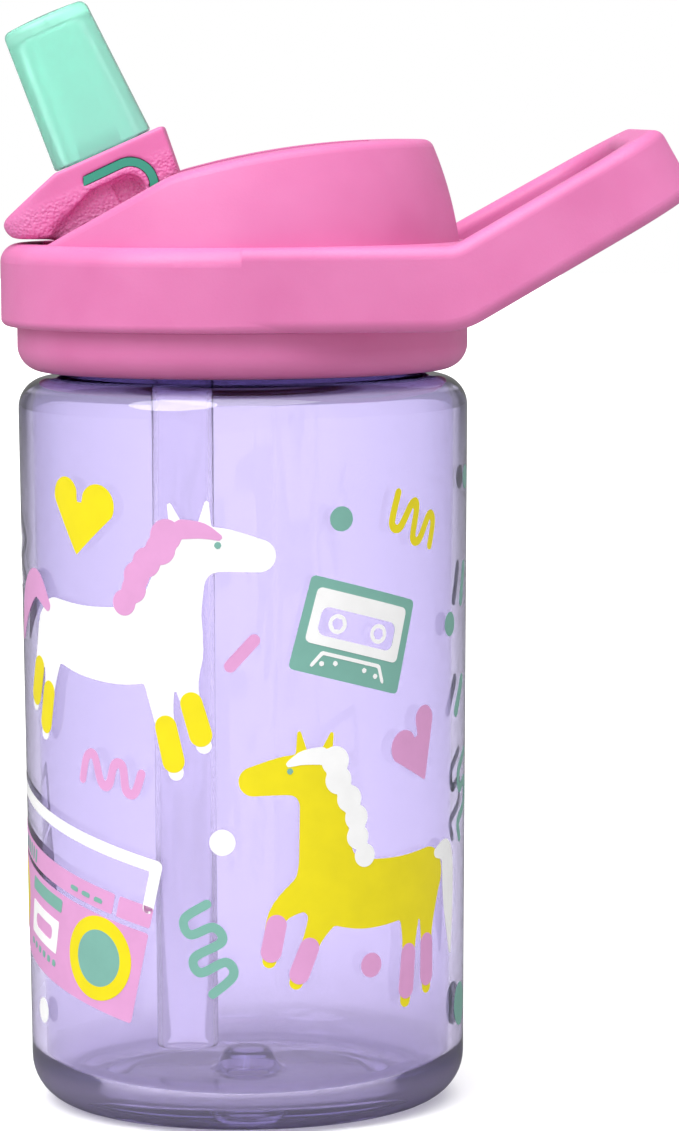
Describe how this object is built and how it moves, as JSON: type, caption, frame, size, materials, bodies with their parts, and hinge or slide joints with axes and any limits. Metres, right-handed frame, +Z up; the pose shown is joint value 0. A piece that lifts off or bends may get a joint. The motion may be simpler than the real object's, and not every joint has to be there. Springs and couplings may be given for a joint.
{
  "type": "kids water bottle",
  "caption": "Clear child's water bottle with a screw cap, a slanting carrying loop and a flip-up bite-valve spout fed by a straw.",
  "frame": {"origin": "centre of the base on the bottle's axis, on the plane it stands on", "axes": "+Z up along the bottle's axis, +X towards the carrying loop, spout at -X, hinge axis along Y"},
  "size_m": [0.1111, 0.0792, 0.1815],
  "materials": {
    "lilac_copolyester": "clear tinted gloss",
    "pink_insert": "satin moulded",
    "gasket_silicone": "matte",
    "elbow_plastic": "clear",
    "straw_plastic": "clear",
    "seat_silicone": "matte",
    "vent_silicone": "matte",
    "pink_shell": "satin moulded",
    "pink_stem": "satin moulded, fine grain",
    "teal_silicone": "matte",
    "mint_silicone": "translucent satin"
  },
  "bodies": {
    "bottle": {"bottle_body": "lilac_copolyester"},
    "gasket": {"cap_gasket": "gasket_silicone"},
    "cap": {"cap_shell": "pink_shell", "cap_insert": "pink_insert", "straw_elbow": "elbow_plastic", "straw": "straw_plastic", "spout_seat": "seat_silicone", "vent_valve": "vent_silicone"},
    "spout": {"spout_stem": "pink_stem", "stem_seal": "teal_silicone", "bite_valve": "mint_silicone"}
  },
  "joints": [
    {"name": "cap_lift", "type": "slide", "parent": "bottle", "child": "gasket", "axis": [0, 0, 1], "range_m": [0, 0.005]},
    {"name": "cap_turn", "type": "hinge", "parent": "gasket", "child": "cap", "pos_m": [0, 0, 0.125], "axis": [0, 0, 1], "range_deg": [0, 360]},
    {"name": "spout_flip", "type": "hinge", "parent": "cap", "child": "spout", "pos_m": [-0.0178, 0, 0.146], "axis": [0, 1, 0], "range_deg": [0, 106]}
  ],
  "couplings": [
    {"joint": "cap_lift", "follows": "cap_turn", "m_per_rad": 0.00079577}
  ]
}
